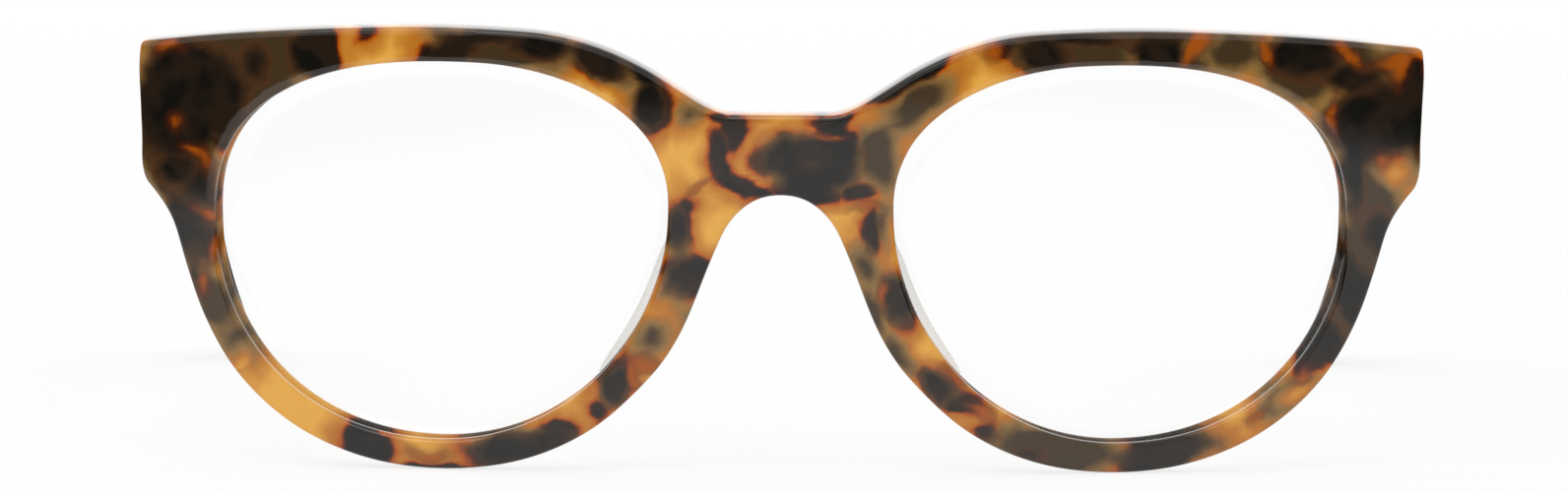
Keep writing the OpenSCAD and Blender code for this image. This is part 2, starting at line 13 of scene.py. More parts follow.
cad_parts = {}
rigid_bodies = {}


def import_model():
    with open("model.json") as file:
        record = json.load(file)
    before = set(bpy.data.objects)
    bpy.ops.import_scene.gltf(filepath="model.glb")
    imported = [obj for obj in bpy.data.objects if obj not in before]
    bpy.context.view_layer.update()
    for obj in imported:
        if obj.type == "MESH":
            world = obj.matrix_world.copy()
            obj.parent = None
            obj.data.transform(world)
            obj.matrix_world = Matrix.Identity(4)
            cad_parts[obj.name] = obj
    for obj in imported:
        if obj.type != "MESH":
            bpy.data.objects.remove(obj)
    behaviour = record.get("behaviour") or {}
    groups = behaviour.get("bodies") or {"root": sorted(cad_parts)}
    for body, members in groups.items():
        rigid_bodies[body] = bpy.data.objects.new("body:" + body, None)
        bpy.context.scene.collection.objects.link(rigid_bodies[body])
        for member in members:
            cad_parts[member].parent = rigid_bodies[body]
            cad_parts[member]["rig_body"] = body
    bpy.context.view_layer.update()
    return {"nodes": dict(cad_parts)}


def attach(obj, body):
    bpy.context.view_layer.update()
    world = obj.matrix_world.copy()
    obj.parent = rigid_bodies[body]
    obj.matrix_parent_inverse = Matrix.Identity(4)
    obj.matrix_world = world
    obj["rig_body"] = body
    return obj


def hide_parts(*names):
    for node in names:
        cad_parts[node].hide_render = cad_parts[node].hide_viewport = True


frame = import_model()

MM = 0.001
print("nodes:", ", ".join(sorted(frame["nodes"])))

# %% [markdown]
# The glasses stand on their lower rims and on the tips of the temples. The temples slope
# down behind the front, and the front's top leans forward over the table. The front's own
# plane is the best place to think in: u runs to the right along the brow and w runs up,
# both in millimetres from the middle between the lenses. The view is along the temples.

# %% Where the front's own plane lies
LEAN_ON_TABLE = radians(5.79)
LEAN_TO_TEMPLES = radians(10.5)
FRONT_ORIGIN = (0.0, -69.08 * MM, 24.66 * MM)
VIEW_DISTANCE = 1500 * MM
VIEW_TILT = LEAN_TO_TEMPLES - LEAN_ON_TABLE
print("the camera looks down by", round(degrees(VIEW_TILT), 2), "degrees")

# %% [markdown]
# A long lens from far away keeps both rims the same size. A camera can be aimed by a
# constraint, but a turn worked out from the view's tilt is exact and easy to read. A
# small roll and a small step to the side follow the photograph.

# %% Camera
PICTURE_WIDTH = 173.9 * MM
SENSOR = 36.0
ROLL = radians(0.35)
SIDE_STEP = 0.38 * MM
EYE_RISE = 0.6 * MM
NEAREST_SEEN = 0.05
FARTHEST_SEEN = 30

bpy.ops.object.camera_add(
    location=(
        SIDE_STEP,
        FRONT_ORIGIN[1] - VIEW_DISTANCE * cos(VIEW_TILT) + EYE_RISE * sin(VIEW_TILT),
        FRONT_ORIGIN[2] + VIEW_DISTANCE * sin(VIEW_TILT) + EYE_RISE * cos(VIEW_TILT),
    ),
)
camera = bpy.context.object
tilted = Matrix.Rotation(radians(90) - VIEW_TILT, 4, "X")
camera.matrix_basis = camera.matrix_basis @ tilted @ Matrix.Rotation(ROLL, 4, "Z")
camera.data.sensor_width = SENSOR
camera.data.lens = SENSOR * VIEW_DISTANCE / PICTURE_WIDTH
camera.data.clip_start = NEAREST_SEEN
camera.data.clip_end = FARTHEST_SEEN
bpy.context.scene.camera = camera
bpy.context.scene.view_settings.view_transform = "Standard"
print("lens", round(camera.data.lens, 1), "mm")

# %% [markdown]
# A finish is a small network of nodes. Written by hand it becomes hard to follow, so one
# class wraps a socket and turns plus, minus and times into Math nodes. Every other node
# comes from one method, which takes its type, its settings and its sockets. The sockets
# of a Mix node have the same names for numbers and for colours, so they go by number.

# %% A socket that can be calculated with
class Value:
    def __init__(self, finish, socket):
        self.finish = finish
        self.socket = socket

    def math(self, operation, *others):
        sockets = {0: self}
        sockets.update({i + 1: other for i, other in enumerate(others)})
        return self.finish.node("ShaderNodeMath", {"operation": operation}, sockets)

    def __add__(self, other):
        return self.math("ADD", other)

    def __sub__(self, other):
        return self.math("SUBTRACT", other)

    def __mul__(self, other):
        return self.math("MULTIPLY", other)

    def __rsub__(self, other):
        settings = {"operation": "SUBTRACT"}
        return self.finish.node("ShaderNodeMath", settings, {0: other, 1: self})

    __radd__ = __add__
    __rmul__ = __mul__

    def fall(self, start, end):
        """1 below start and 0 above end, with a smooth slope between."""
        settings = {"interpolation_type": "SMOOTHSTEP"}
        sockets = {"Value": self, "From Min": start, "From Max": end}
        sockets.update({"To Min": 1.0, "To Max": 0.0})
        return self.finish.node("ShaderNodeMapRange", settings, sockets)

    def between(self, low, high):
        """A value from 0 to 1, spread from low to high."""
        return self * (high - low) + low


# %% A finish and its nodes
MIX_FACTOR = 0
MIX_COLOURS = (6, 7)
MIX_RESULT = 2


class Finish:
    def __init__(self, name):
        self.material = bpy.data.materials.new(name)
        self.material.use_nodes = True
        self.tree = self.material.node_tree
        self.tree.nodes.clear()

    def node(self, kind, settings=None, sockets=None, out=0):
        made = self.tree.nodes.new(kind)
        for key, value in (settings or {}).items():
            setattr(made, key, value)
        for key, value in (sockets or {}).items():
            if isinstance(value, Value):
                self.tree.links.new(value.socket, made.inputs[key])
            else:
                made.inputs[key].default_value = value
        return Value(self, made.outputs[out])

    def waves(self, place, scale, detail=2.0, out=0):
        sockets = {"Vector": place, "Scale": scale, "Detail": detail}
        return self.node("ShaderNodeTexNoise", {}, sockets, out)

    def mix(self, factor, under, over):
        settings = {"data_type": "RGBA", "clamp_factor": True}
        sockets = {MIX_FACTOR: factor, MIX_COLOURS[0]: under, MIX_COLOURS[1]: over}
        return self.node("ShaderNodeMix", settings, sockets, MIX_RESULT)

    def mix_shaders(self, factor, under, over):
        return self.node("ShaderNodeMixShader", {}, {0: factor, 1: under, 2: over})

    def principled(self, sockets):
        return self.node("ShaderNodeBsdfPrincipled", {}, sockets)

    def end_with(self, shader):
        output = self.tree.nodes.new("ShaderNodeOutputMaterial")
        self.tree.links.new(shader.socket, output.inputs["Surface"])
        print(self.material.name, len(self.tree.nodes), "nodes")


def paint(red, green, blue):
    """A colour as a painter reads it off a screen, from 0 to 255, in the shader's units."""
    parts = [c / 255 for c in (red, green, blue)]
    return [p / 12.92 if p <= 0.04045 else ((p + 0.055) / 1.055) ** 2.4 for p in parts] + [1.0]


# %% [markdown]
# The front is one sheet of tortoiseshell acetate. It is pressed from blocks of coloured
# material, so its blotches go through the whole sheet: warm amber, clouds of olive, and
# nearly black islands whose edges glow orange where they thin out. A noise alone would
# put them anywhere. Here each blotch is an ellipse with a place, two radii and a turn in
# the front's plane, and it is the same at any depth, as it is in the real sheet.

# %% Dark islands, as (u, w, half length, half height, turn)
DARK_LEFT = [
    (-65.4, 17.4, 6.0, 5.2, 0), (-66.8, 12.6, 4.6, 3.6, 0), (-69.8, 15.5, 1.8, 5.6, 0),
    (-62.0, 14.2, 2.4, 3.2, 0), (-58.4, 20.0, 1.2, 1.8, 0), (-51.7, 21.9, 2.8, 3.1, 0),
    (-46.0, 24.2, 0.6, 0.9, -30), (-36.9, 22.5, 3.4, 1.8, 25), (-33.5, 24.6, 4.5, 0.9, 0),
    (-27.0, 23.6, 3.2, 1.6, -8), (-20.9, 21.8, 3.6, 1.6, -22), (-14.2, 16.8, 1.9, 3.4, -6),
    (-15.4, 20.4, 3.4, 0.9, -38), (-67.4, 8.0, 2.2, 1.5, 0), (-64.6, 6.2, 1.7, 1.6, 0),
    (-66.2, 1.6, 2.0, 3.4, 12), (-64.2, 0.2, 1.5, 1.7, 0), (-65.0, -3.6, 0.7, 1.8, 18),
    (-63.6, 4.9, 1.0, 0.7, 0), (-45.8, -22.0, 2.8, 2.1, -20), (-30.0, -22.4, 5.2, 1.7, 0),
    (-24.9, -20.8, 2.6, 1.8, 18), (-18.1, -14.0, 1.9, 2.6, -15), (-19.9, -17.4, 0.8, 1.1, 30),
    (-11.3, 3.5, 1.3, 2.6, 0), (-10.4, 5.8, 0.9, 0.7, 20), (-10.4, -2.1, 2.4, 2.2, 15),
    (-37.0, -24.9, 4.8, 0.9, 0),
]
DARK_BRIDGE = [
    (-6.2, 15.4, 1.8, 0.4, 0), (-5.1, 14.1, 1.1, 2.0, 0), (-7.1, 12.3, 0.8, 1.5, 0),
    (-6.5, 9.9, 0.8, 1.4, 25), (-4.6, 8.1, 2.0, 0.8, -35), (-2.7, 7.3, 1.2, 0.6, -20),
    (-0.9, 10.7, 1.9, 1.2, 0), (0.9, 11.2, 1.9, 2.3, 0), (3.4, 12.0, 2.4, 1.6, 0),
    (6.0, 11.2, 3.2, 3.3, 0), (2.6, 8.2, 3.7, 2.3, 0), (8.4, 7.4, 1.5, 1.0, 0),
    (5.8, 15.4, 2.2, 0.9, 0), (6.6, 13.8, 1.5, 1.0, 0),
]
DARK_RIGHT = [
    (14.8, 20.7, 4.0, 1.3, 36), (11.2, 17.9, 1.5, 0.7, 38), (25.4, 23.6, 1.5, 1.3, 0),
    (28.8, 22.6, 2.8, 1.9, 0), (33.4, 24.4, 3.6, 0.8, 0), (42.0, 22.6, 3.1, 2.6, 0),
    (57.6, 22.2, 4.0, 2.6, -8), (63.8, 19.3, 3.2, 1.6, -12), (66.6, 14.0, 5.6, 4.0, 0),
    (70.0, 15.6, 2.2, 5.0, 0), (63.4, 9.4, 1.4, 4.4, 0), (66.8, 1.4, 1.6, 3.4, 18),
    (63.9, -4.6, 2.2, 5.2, 24), (60.8, -10.4, 2.1, 3.6, 36), (59.0, -12.8, 1.3, 1.3, 40),
    (10.2, 2.8, 1.1, 1.8, -15), (13.1, -4.9, 1.6, 3.1, 14), (17.4, -14.6, 2.6, 1.5, -38),
    (20.2, -16.4, 1.6, 1.1, -38), (23.3, -20.0, 1.0, 0.8, 0), (28.0, -22.2, 1.0, 0.5, 0),
    (42.6, -22.3, 5.4, 2.2, 9),
]
DARK = DARK_LEFT + DARK_BRIDGE + DARK_RIGHT
print(len(DARK), "dark islands")

# %% [markdown]
# Olive is the second colour of the block, milky and wide. It could be drawn as a halo of
# the dark, but on the real sheet it also lies where no island is. So it gets ellipses of
# its own, which overlap and flow together into clouds.

# %% Olive clouds, in the same way
OLIVE = [
    (-62.6, 18.6, 9.6, 7.0, 0), (-55.4, 21.6, 4.4, 4.0, 40), (-70.0, 10.5, 2.4, 4.5, 0),
    (-66.6, 8.0, 4.4, 5.6, 0), (-65.4, 1.2, 3.3, 5.2, 14), (-62.7, -6.2, 2.1, 4.8, 20),
    (-60.2, -11.0, 2.0, 2.8, 35), (-30.8, 23.4, 8.6, 3.2, -3), (-16.6, 21.0, 4.2, 1.4, -36),
    (-19.6, 20.7, 4.6, 1.3, -26), (-14.6, 17.2, 2.0, 3.4, 0), (-10.1, 16.0, 1.5, 1.5, 0),
    (-28.6, -21.6, 6.6, 2.2, 3), (-18.2, -14.4, 1.9, 2.6, -20), (-14.4, -9.6, 2.5, 1.9, 35),
    (-11.6, -3.4, 1.7, 2.2, 0), (-11.4, 2.4, 1.2, 3.4, 0), (3.6, 10.6, 6.0, 3.4, 0),
    (11.0, 11.8, 2.5, 4.6, 0), (14.6, 17.0, 5.4, 2.0, 38), (9.2, -0.8, 1.7, 2.8, 12),
    (12.6, -4.6, 2.0, 3.4, 14), (17.6, -14.6, 2.8, 1.6, -38), (11.6, 3.8, 0.9, 2.4, 0),
    (9.9, -6.2, 1.8, 4.2, 24), (13.0, -11.0, 1.7, 2.8, 38), (-10.0, -6.8, 1.0, 1.6, -20),
    (31.0, -21.6, 8.0, 2.8, -6), (44.0, -22.2, 5.0, 2.2, 10), (56.2, -16.6, 3.4, 2.0, 35),
    (32.8, 22.6, 7.2, 2.7, 0), (43.0, 22.4, 2.8, 3.0, 0), (46.5, 21.0, 2.4, 1.8, 0),
    (50.2, 22.9, 3.6, 2.8, 0), (60.6, 21.6, 8.4, 3.4, -8), (36.0, 24.6, 14.0, 1.6, 0),
    (69.6, 12.0, 2.6, 5.0, 0), (57.0, 20.4, 5.2, 3.6, -25), (65.6, 14.0, 6.4, 5.6, 0),
    (65.8, 5.4, 3.6, 5.8, 0), (65.0, -1.0, 3.4, 5.6, 18), (61.8, -8.6, 3.2, 5.4, 30),
]
print(len(OLIVE), "olive clouds")

# %% [markdown]
# Thin streaks of orange cross the dark. They could be left out of the dark's ellipses,
# but it is easier to lay them over it last, as slim ellipses with a turn.

# %% Orange streaks, which lie over the dark
ORANGE = [
    (-67.5, 13.4, 0.5, 0.4, 0), (-65.2, 9.8, 1.0, 0.45, -35), (-64.0, 8.6, 0.4, 0.8, 0),
    (-63.5, 3.3, 1.6, 0.45, -16), (-62.8, -0.6, 0.6, 1.0, 0), (-63.6, -4.3, 0.45, 0.9, 0),
    (-39.0, -23.0, 1.3, 0.5, 0), (-14.9, -12.2, 1.6, 0.4, -24), (-16.2, -12.8, 0.4, 1.6, 30),
    (-8.9, 8.4, 1.0, 0.25, 40), (5.1, 13.8, 1.0, 0.25, 0), (9.4, 5.4, 1.0, 0.35, 0),
    (11.3, -4.0, 0.5, 1.1, 0), (22.3, -17.7, 1.2, 0.45, -35), (19.2, -13.4, 0.9, 0.4, -45),
    (52.6, -18.4, 0.8, 0.3, 20), (58.2, -14.2, 0.6, 0.4, 30), (23.5, 23.0, 0.9, 0.6, 0),
    (46.3, 23.2, 0.7, 1.9, -24), (53.6, 23.0, 0.6, 1.5, 20), (62.9, 22.4, 2.0, 0.6, -35),
    (67.9, 20.8, 1.2, 1.0, 0), (68.3, 19.4, 0.7, 1.2, 0), (61.6, 15.4, 0.4, 1.4, 0),
    (67.0, 9.9, 0.6, 0.4, -40), (-68.6, 21.8, 0.9, 0.5, 0),
]
print(len(ORANGE), "orange streaks")

# %% [markdown]
# In a few places the amber shines through the clouds. Such a window could be left open
# by moving all blotches around it. Here it is an ellipse too, which holds the dark and
# the olive off while the distances are worked out.

# %% Amber windows, where the light comes through the clouds
WINDOWS = [
    (68.8, 8.6, 1.3, 0.8, -40), (57.6, -16.2, 1.3, 0.9, 30), (-60.4, -13.6, 1.2, 0.8, 30),
    (-12.8, -6.0, 1.1, 0.9, 0), (9.0, 15.2, 1.2, 0.6, 10),
]
print(len(WINDOWS), "amber windows")

# %% [markdown]
# A node for each blotch would make a network too large to render. The distance to the
# nearest blotch changes slowly, so it is worked out at each point of the mesh and kept
# there as an attribute, in millimetres. The finish then turns it into edges that are
# sharper than the mesh. Drawn as they stand, ellipses look like ellipses, so each place
# is first bent by noise, and a smooth minimum lets neighbours flow together. The noise
# takes its seed from the clock unless it is given one, so it is given one.

# %% Places in the front's plane, bent by noise
BENDS = [(1.1, 0.22), (0.4, 0.7)]
BEND_SEED = 18
noise.seed_set(BEND_SEED)


def plane_places(piece):
    """The points of a piece in the front's own plane, in millimetres."""
    points = np.empty(len(piece.data.vertices) * 3)
    piece.data.vertices.foreach_get("co", points)
    points = (points.reshape(-1, 3) - np.array(FRONT_ORIGIN)) / MM
    turn = np.array(Matrix.Rotation(-LEAN_ON_TABLE, 3, "X"))
    return points @ turn.T


def bent_places(places):
    """Moves places by one noise for each (reach in millimetres, waves per millimetre)."""
    for reach, waves in BENDS:
        pushes = [noise.noise_vector(Vector(place) * waves) for place in places]
        places = places + reach * np.array(pushes)
    return places


# %% Distances to blotches, kept on the mesh
FAR_FROM_ALL = 50.0
FLOW = 0.9
SPREAD = 0.3
print("blotches closer than", FLOW, "mm flow together, and all grow by", SPREAD, "mm")


def blotch_distance(places, blotches):
    """Millimetres to the nearest edge of a set of blotches, less than nothing inside."""
    nearest = np.full(len(places), FAR_FROM_ALL)
    for u, w, half_long, half_high, turn in blotches:
        right = places[:, 0] - u
        up = places[:, 2] - w
        along = right * cos(radians(turn)) + up * sin(radians(turn))
        across = up * cos(radians(turn)) - right * sin(radians(turn))
        radii = np.hypot(along / half_long, across / half_high)
        away = (radii - 1) * (half_long * half_high) ** 0.5
        blend = np.clip(FLOW - np.abs(nearest - away), 0, None) / FLOW
        nearest = np.minimum(nearest, away) - FLOW * blend**3 / 6
    return nearest - SPREAD


def keep_on_mesh(piece, name, values):
    attribute = piece.data.attributes.new(name, "FLOAT", "POINT")
    attribute.data.foreach_set("value", values.astype(np.float32))


# %% [markdown]
# The layers of colour go on as the eye reads them: amber with faint clouds, olive with
# wide soft edges, the dark with an orange fringe outside and a red-brown one inside, and
# the orange streaks last. Front and temples share them, so they look cut from one block.
# Each edge below is a pair of distances in millimetres: where a layer lies full, and
# where it has gone. Inside a blotch a distance is less than nothing.

# %% Colours of the acetate
PALE_AMBER = paint(228, 168, 70)
DEEP_AMBER = paint(184, 112, 34)
OLIVE_AMBER = paint(142, 108, 60)
OLIVE_BROWN = paint(66, 51, 32)
FRINGE = paint(176, 84, 16)
RED_BROWN = paint(86, 34, 12)
BURNT_ORANGE = paint(170, 82, 10)
NEAR_BLACK = paint(21, 19, 15)
DARK_BROWN = paint(38, 28, 20)

# %% Layers of the acetate
TINT_WAVES = 0.2
TINT_REACH = 3.0
AMBER_DEPTH = (0.2, 2.9)
OLIVE_DEPTH = (-2.2, -0.3)
OLIVE_EDGE = (-0.8, 0.7)
CLOUD_EDGE = (-0.9, 0.5)
FRINGE_EDGE = (0.1, 0.65)
INNER_FRINGE_EDGE = (-0.2, 0.25)
CRISP_EDGE = (-0.55, 0.0)
SOFT_EDGE = (-1.5, 1.0)
STREAK_RIM = (-0.3, 1.1)
STREAK_CORE = (-0.9, 0.3)
BROWNEST_TINT = (0.58, 0.42)
CLOUD_VEIL = 0.9
INNER_CLOUD_VEIL = 0.8
STREAK_RIM_STRENGTH = 0.6
STREAK_CORE_STRENGTH = 0.8


def tortoise_colour(finish, place, to_dark, to_olive, to_orange):
    tint = finish.waves(place, TINT_WAVES)
    light = to_dark.math("MINIMUM", to_olive) + (tint - 0.5) * TINT_REACH
    colour = finish.mix(light.fall(*AMBER_DEPTH), PALE_AMBER, DEEP_AMBER)
    olive = finish.mix(to_olive.fall(*OLIVE_DEPTH), OLIVE_AMBER, OLIVE_BROWN)
    colour = finish.mix(to_olive.fall(*OLIVE_EDGE), colour, olive)
    clouded = to_olive.fall(*CLOUD_EDGE)
    fringe = to_dark.fall(*FRINGE_EDGE) * (1 - clouded * CLOUD_VEIL)
    colour = finish.mix(fringe, colour, FRINGE)
    inner = finish.mix(clouded, RED_BROWN, OLIVE_BROWN)
    inner_fringe = to_dark.fall(*INNER_FRINGE_EDGE) * (1 - clouded * INNER_CLOUD_VEIL)
    colour = finish.mix(inner_fringe, colour, inner)
    island = finish.mix(tint.fall(*BROWNEST_TINT), NEAR_BLACK, DARK_BROWN)
    crisp = to_dark.fall(*CRISP_EDGE)
    soft = to_dark.fall(*SOFT_EDGE)
    colour = finish.mix(crisp + (soft - crisp) * clouded, colour, island)
    rim = to_orange.fall(*STREAK_RIM) * STREAK_RIM_STRENGTH
    core = to_orange.fall(*STREAK_CORE) * STREAK_CORE_STRENGTH
    return finish.mix(core, finish.mix(rim, colour, RED_BROWN), BURNT_ORANGE)


# %% [markdown]
# Acetate is tumbled and buffed until it shines. A clear coat could give the gloss, but
# such a frame isn't lacquered: its own surface is smooth, with a trace of unevenness. So
# the plain gloss of the shader is used, and a fine noise roughens it.

# %% Polish
ACETATE_IOR = 1.48
POLISH_WAVES = 0.8
POLISH_DETAIL = 4.0
ACETATE_ROUGHNESS = (0.035, 0.105)


def polished_acetate(finish, colour, place):
    wear = finish.waves(place, POLISH_WAVES, POLISH_DETAIL)
    sockets = {
        "Base Color": colour,
        "Roughness": wear.between(*ACETATE_ROUGHNESS),
        "IOR": ACETATE_IOR,
    }
    finish.end_with(finish.principled(sockets))


# %% [markdown]
# The front's finish reads its three distances from the mesh. A fine noise is added to
# them, which frays every edge by up to about a quarter of a millimetre. It could be kept
# on the mesh as well, but the points there are too far apart to show it.

# %% Finish of the front
FRAY_WAVES = 0.9
FRAY_REACH = 0.55


def front_plane(finish):
    """Object coordinates turned into the front's own plane, in millimetres."""
    place = finish.node("ShaderNodeTexCoord", out="Object")
    sockets = {
        "Vector": place,
        "Location": FRONT_ORIGIN,
        "Rotation": (LEAN_ON_TABLE, 0, 0),
        "Scale": (MM, MM, MM),
    }
    return finish.node("ShaderNodeMapping", {"vector_type": "TEXTURE"}, sockets)


def kept_distance(finish, name, fray):
    return finish.node("ShaderNodeAttribute", {"attribute_name": name}, out="Fac") + fray


front_acetate = Finish("tortoise_front")
plane = front_plane(front_acetate)
fray = (front_acetate.waves(plane, FRAY_WAVES, detail=1.0) - 0.5) * FRAY_REACH
front_colour = tortoise_colour(
    front_acetate,
    plane,
    kept_distance(front_acetate, "dark", fray),
    kept_distance(front_acetate, "olive", fray),
    kept_distance(front_acetate, "orange", fray),
)
polished_acetate(front_acetate, front_colour, plane)

# %% [markdown]
# The temples come from the same block, but nobody places their blotches one by one. Here
# the distances come from noise, stretched along the temple as the block is rolled out.
# Where the noise rises above a level there is a blotch, and a reach turns what is missing
# to that level into millimetres.

# %% Finish of the temples, with blotches as (waves, level, reach)
ROLLED_OUT = (1, 0.6, 1)
TEMPLE_BENDS = [(1.6, 0.2), (0.5, 0.8)]
TEMPLE_DARK = (0.115, 0.53, 26.0)
TEMPLE_OLIVE = (0.17, 0.57, 22.0)
TEMPLE_ORANGE = (0.27, 0.68, 14.0)


def bent_by_nodes(finish, place, bends):
    """Moves a place by one noise for each bend, as bent_places does on the mesh."""
    for reach, waves in bends:
        push = finish.waves(place, waves, out="Color")
        centred = {0: push, 1: (0.5, 0.5, 0.5)}
        push = finish.node("ShaderNodeVectorMath", {"operation": "SUBTRACT"}, centred)
        moved = {0: push, 1: (2 * reach,) * 3, 2: place}
        place = finish.node("ShaderNodeVectorMath", {"operation": "MULTIPLY_ADD"}, moved)
    return place


def noise_distance(finish, place, waves, level, reach):
    return (level - finish.waves(place, waves, detail=1.0)) * reach


temple_acetate = Finish("tortoise_temple")
temple_place = front_plane(temple_acetate)
stretching = {"Vector": temple_place, "Scale": ROLLED_OUT}
stretched = temple_acetate.node("ShaderNodeMapping", {"vector_type": "POINT"}, stretching)
drift = bent_by_nodes(temple_acetate, stretched, TEMPLE_BENDS)
temple_colour = tortoise_colour(
    temple_acetate,
    temple_place,
    noise_distance(temple_acetate, drift, *TEMPLE_DARK),
    noise_distance(temple_acetate, drift, *TEMPLE_OLIVE),
    noise_distance(temple_acetate, drift, *TEMPLE_ORANGE),
)
polished_acetate(temple_acetate, temple_colour, temple_place)

# %% [markdown]
# The nose pads are clear acetate, a little green in the depth. They are thin, so they
# bend little of what lies behind them, and a glass shader would be noisy here. A skin
# over a clear gap, thicker towards the silhouette, shows the same.

# %% Clear pads
PAD_HAZE_WAVES = 0.35
PAD_PALE = paint(240, 240, 230)
PAD_GREEN = paint(222, 226, 212)
PAD_ROUGHNESS = (0.06, 0.14)
PAD_SKIN = (0.14, 0.54)
EVEN_FACING = 0.5

pad_clear = Finish("clear_pad")
haze = pad_clear.waves(front_plane(pad_clear), PAD_HAZE_WAVES)
pad_sockets = {
    "Base Color": pad_clear.mix(haze, PAD_PALE, PAD_GREEN),
    "Roughness": haze.between(*PAD_ROUGHNESS),
    "IOR": ACETATE_IOR,
}
pad_skin = pad_clear.principled(pad_sockets)
pad_facing = pad_clear.node("ShaderNodeLayerWeight", {}, {"Blend": EVEN_FACING}, out="Facing")
pad_gap = pad_clear.node("ShaderNodeBsdfTransparent")
pad_clear.end_with(pad_clear.mix_shaders(pad_facing.between(*PAD_SKIN), pad_gap, pad_skin))

# %% [markdown]
# The lenses are clear plastic without power, so nothing behind them is moved, and only a
# faint reflection shows that they are there. On a real lens it grows quickly towards a
# grazing look, which a power of the facing gives without a refracting shader.

# %% Clear lenses
LENS_SHEEN_WAVES = 0.05
LENS_WHITE = paint(252, 253, 252)
LENS_COOL = paint(244, 248, 246)
LENS_ROUGHNESS = (0.01, 0.03)
GRAZING_POWER = 5.0
LENS_MIRROR = (0.02, 0.52)

lens_clear = Finish("clear_lens")
sheen = lens_clear.waves(front_plane(lens_clear), LENS_SHEEN_WAVES)
lens_sockets = {
    "Base Color": lens_clear.mix(sheen, LENS_WHITE, LENS_COOL),
    "Roughness": sheen.between(*LENS_ROUGHNESS),
    "Metallic": 1.0,
}
lens_skin = lens_clear.principled(lens_sockets)
lens_gap = lens_clear.node("ShaderNodeBsdfTransparent")
lens_facing = lens_clear.node("ShaderNodeLayerWeight", {}, {"Blend": EVEN_FACING}, out="Facing")
mirror = lens_facing.math("POWER", GRAZING_POWER).between(*LENS_MIRROR)
lens_clear.end_with(lens_clear.mix_shaders(mirror, lens_gap, lens_skin))

# %% [markdown]
# Hinges, screws and cores are steel. The hinge is stamped and tumbled, which leaves fine
# marks in one direction. A noise squeezed along one axis draws them, in the roughness
# and as a shallow bump.

# %% Steel
GRAIN_SQUEEZE = (9, 9, 1.2)
GRAIN_DETAIL = 5.0
MARK_STRENGTH = 0.12
MARK_DEPTH = 0.02 * MM
STEEL_LIGHT = paint(205, 201, 192)
STEEL_DARK = paint(172, 168, 160)
STEEL_ROUGHNESS = (0.17, 0.37)

steel = Finish("hinge_steel")
squeezing = {"Vector": front_plane(steel), "Scale": GRAIN_SQUEEZE}
grain_space = steel.node("ShaderNodeMapping", {"vector_type": "POINT"}, squeezing)
grain = steel.waves(grain_space, 1.0, GRAIN_DETAIL)
mark_sockets = {"Height": grain, "Strength": MARK_STRENGTH, "Distance": MARK_DEPTH}
marks = steel.node("ShaderNodeBump", {}, mark_sockets)
steel_sockets = {
    "Base Color": steel.mix(grain, STEEL_LIGHT, STEEL_DARK),
    "Roughness": grain.between(*STEEL_ROUGHNESS),
    "Metallic": 1.0,
    "Normal": marks,
}
steel.end_with(steel.principled(steel_sockets))

# %% [markdown]
# Each piece starts as a copy of its solid, because the solid has the true form. A solid
# carries loose triangles, so the copy's points are merged. The copy then stands for the
# node, rides on its body and takes the finish it is handed.

# %% Merged copies of the solids
WELD_REACH = 0.002 * MM


def select_only(piece):
    bpy.ops.object.select_all(action="DESELECT")
    piece.select_set(True)
    bpy.context.view_layer.objects.active = piece


def merged_copy(node, name):
    source = frame["nodes"][node]
    piece = bpy.data.objects.new(name, source.data.copy())
    bpy.context.collection.objects.link(piece)
    select_only(piece)
    bpy.ops.object.mode_set(mode="EDIT")
    bpy.ops.mesh.select_mode(type="VERT")
    bpy.ops.mesh.select_all(action="SELECT")
    bpy.ops.mesh.remove_doubles(threshold=WELD_REACH)
    bpy.ops.object.mode_set(mode="OBJECT")
    return piece


def finish_piece(piece, node, finish):
    piece.data.materials.clear()
    piece.data.materials.append(finish.material)
    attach(piece, frame["nodes"][node]["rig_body"])
    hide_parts(node)
    print(piece.name, len(piece.data.polygons), "faces")


# %% [markdown]
# Acetate and plastic have soft forms. A bevel would round only their edges and leave the
# facets of the solid. Subdivision rounds the whole form: the triangles are first paired
# into quads, and a crease holds each edge that is sharp on the real piece.

# %% Rounded pieces
PAIR_FLATNESS = radians(35)
PAIR_SQUARENESS = radians(50)
CREASE_FROM = radians(48)
SMOOTH_UP_TO = radians(38)


def rounded_piece(node, name, finish, slot, levels):
    piece = merged_copy(node, name)
    bpy.ops.object.mode_set(mode="EDIT")
    bpy.ops.mesh.select_all(action="SELECT")
    bpy.ops.mesh.tris_convert_to_quads(
        face_threshold=PAIR_FLATNESS,
        shape_threshold=PAIR_SQUARENESS,
    )
    bpy.ops.mesh.select_all(action="DESELECT")
    bpy.ops.mesh.select_mode(type="EDGE")
    bpy.ops.mesh.edges_select_sharp(sharpness=CREASE_FROM)
    bpy.ops.transform.edge_crease(value=1.0)
    bpy.ops.object.mode_set(mode="OBJECT")
    rounding = piece.modifiers.new("Rounding", "SUBSURF")
    rounding.levels = levels
    rounding.render_levels = levels
    bpy.ops.object.modifier_apply(modifier=rounding.name)
    bpy.ops.object.shade_smooth_by_angle(angle=SMOOTH_UP_TO)
    finish_piece(piece, node, finish)
    return piece


# %% [markdown]
# The pattern lives on the points of the mesh, and the flat parts of the front have few of
# them. A remesh would add points but blur the form. Splitting only the edges that are too
# long adds points and leaves the form alone.

# %% Enough points to hold a pattern
LONGEST_EDGE = 0.7 * MM
SPLIT_ROUNDS = 3


